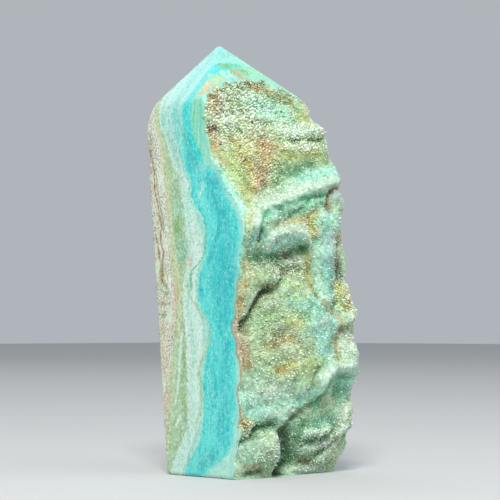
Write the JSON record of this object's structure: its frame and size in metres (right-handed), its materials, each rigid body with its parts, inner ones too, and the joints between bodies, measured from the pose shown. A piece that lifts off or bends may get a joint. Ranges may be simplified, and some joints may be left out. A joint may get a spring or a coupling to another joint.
{
  "type": "hemimorphite point",
  "caption": "Free-standing polished point of banded blue-green hemimorphite with a flat base, a faceted tip and one natural side crusted with fine crystals.",
  "frame": {"origin": "bottom centre of the bounding box, on the plane the base stands on", "axes": "+Z from the flat base up to the tip, -Y out of the natural crystal side, -X out of the banded polished side"},
  "size_m": [0.0346, 0.039, 0.1004],
  "materials": {
    "stone": "polished blue-green stone, banded with mint, white, sage and cream; one side rough with sugary crystals"
  },
  "bodies": {
    "root": {"hemimorphite_point": "stone"}
  },
  "joints": []
}
